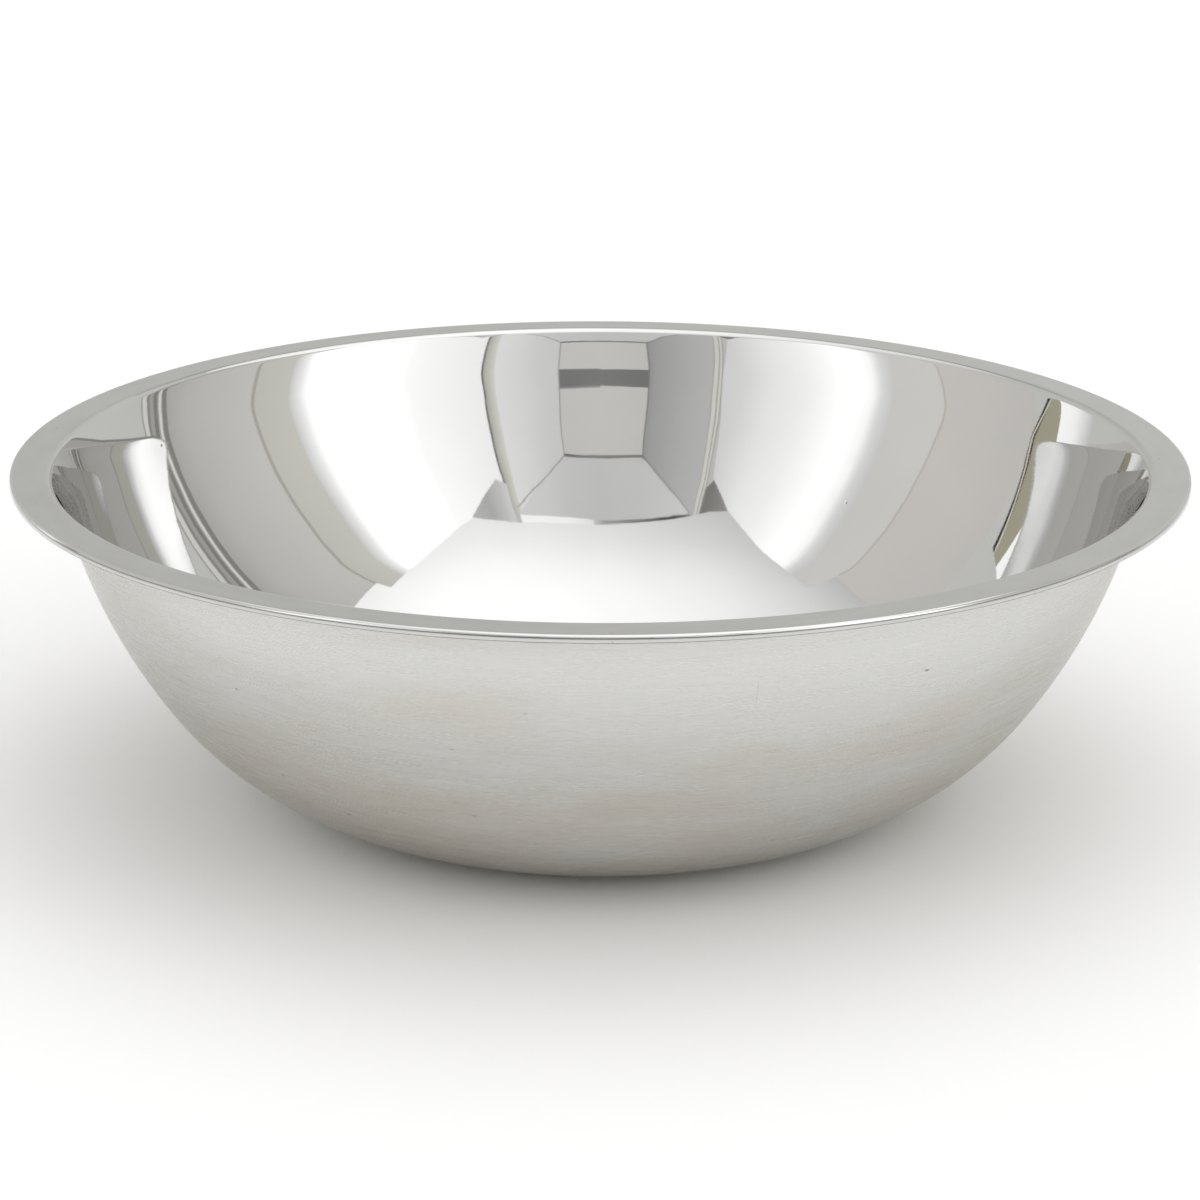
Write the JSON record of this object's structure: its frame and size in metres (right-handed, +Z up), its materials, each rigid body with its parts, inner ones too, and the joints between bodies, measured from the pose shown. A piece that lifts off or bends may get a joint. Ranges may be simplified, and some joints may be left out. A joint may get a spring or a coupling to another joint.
{
  "type": "mixing bowl",
  "caption": "Wide, shallow stainless steel mixing bowl with a flat base, curved wall and flat rim with a turned-down edge.",
  "frame": {"origin": "centre of the underside of the flat base, on the surface that the bowl stands on", "axes": "+Z up along the bowl's axis, out of its mouth; the bowl is round, so X and Y are free"},
  "size_m": [0.4059, 0.406, 0.12],
  "materials": {
    "stainless_steel": "bright polished inside, satin spun outside"
  },
  "bodies": {
    "root": {"bowl": "stainless_steel"}
  },
  "joints": []
}
